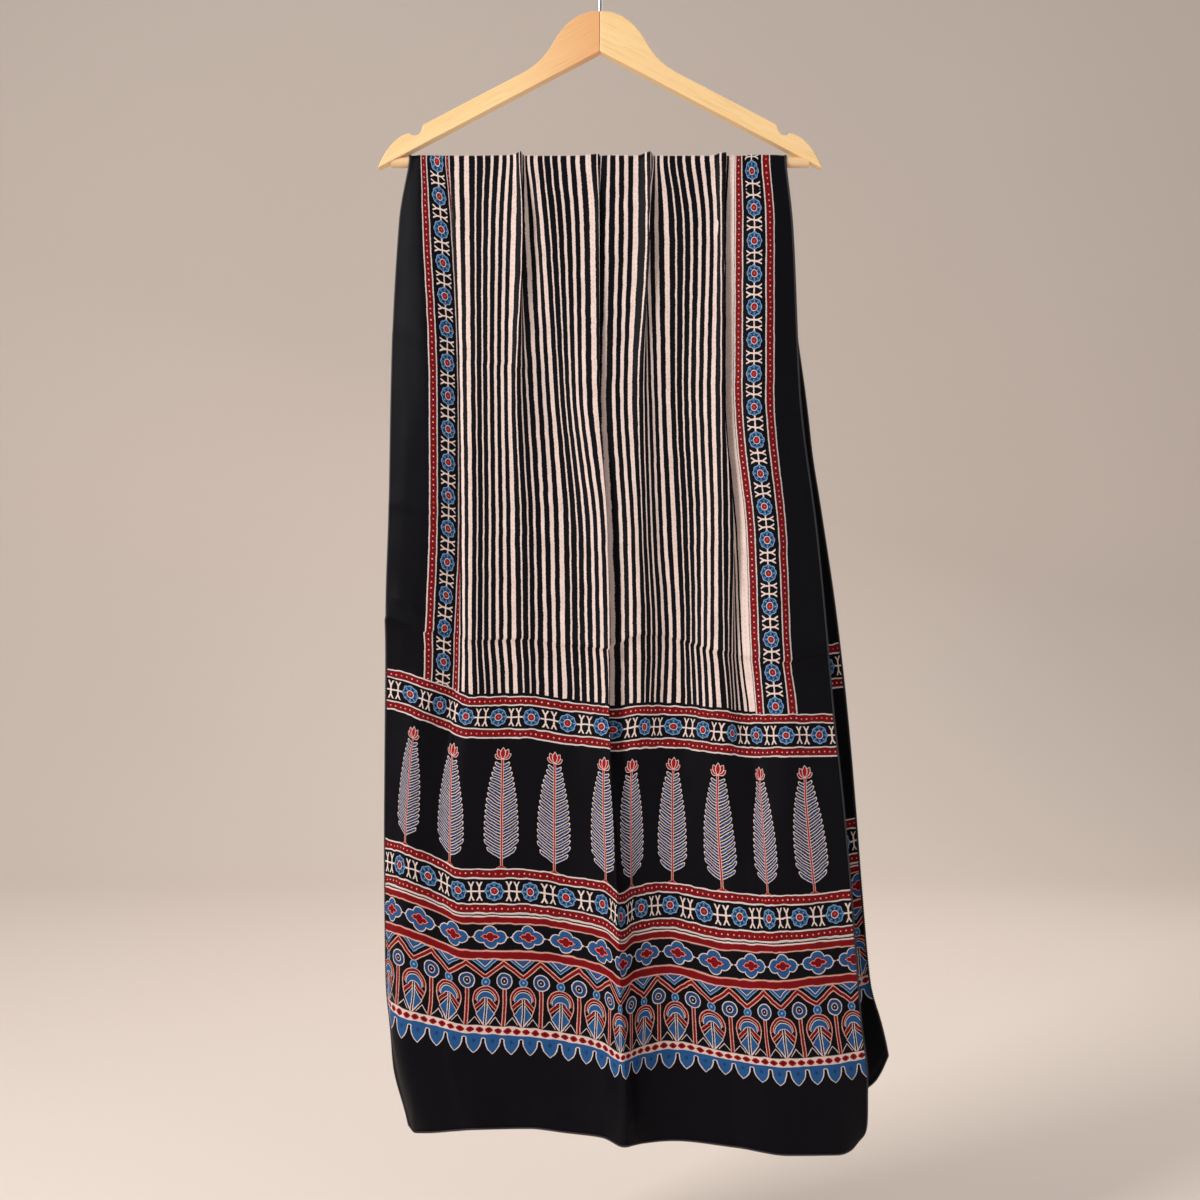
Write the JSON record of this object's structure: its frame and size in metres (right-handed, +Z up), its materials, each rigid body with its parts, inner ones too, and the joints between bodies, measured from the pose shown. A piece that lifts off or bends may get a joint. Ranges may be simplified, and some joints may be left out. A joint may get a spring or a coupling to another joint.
{
  "type": "ajrakh cloth on a wooden coat hanger",
  "caption": "Long block-printed cotton cloth with borders, folded over the round bar of a flat wooden coat hanger with a wire hook.",
  "frame": {"origin": "inner crown of the hook, where it rests on a rail", "axes": "+Z up, +X to the viewer's right along the bar, the printed front faces -Y"},
  "size_m": [0.5138, 0.0824, 1.2012],
  "materials": {
    "printed_cotton": "soft woven, block printed in black, deep red, blue and cream",
    "pale_wood": "satin varnish",
    "steel_wire": "bright drawn wire"
  },
  "bodies": {
    "root": {"cloth": "printed_cotton", "hanger_arm_left": "pale_wood", "hanger_arm_right": "pale_wood", "hanger_bar": "pale_wood", "hook": "steel_wire"}
  },
  "joints": []
}
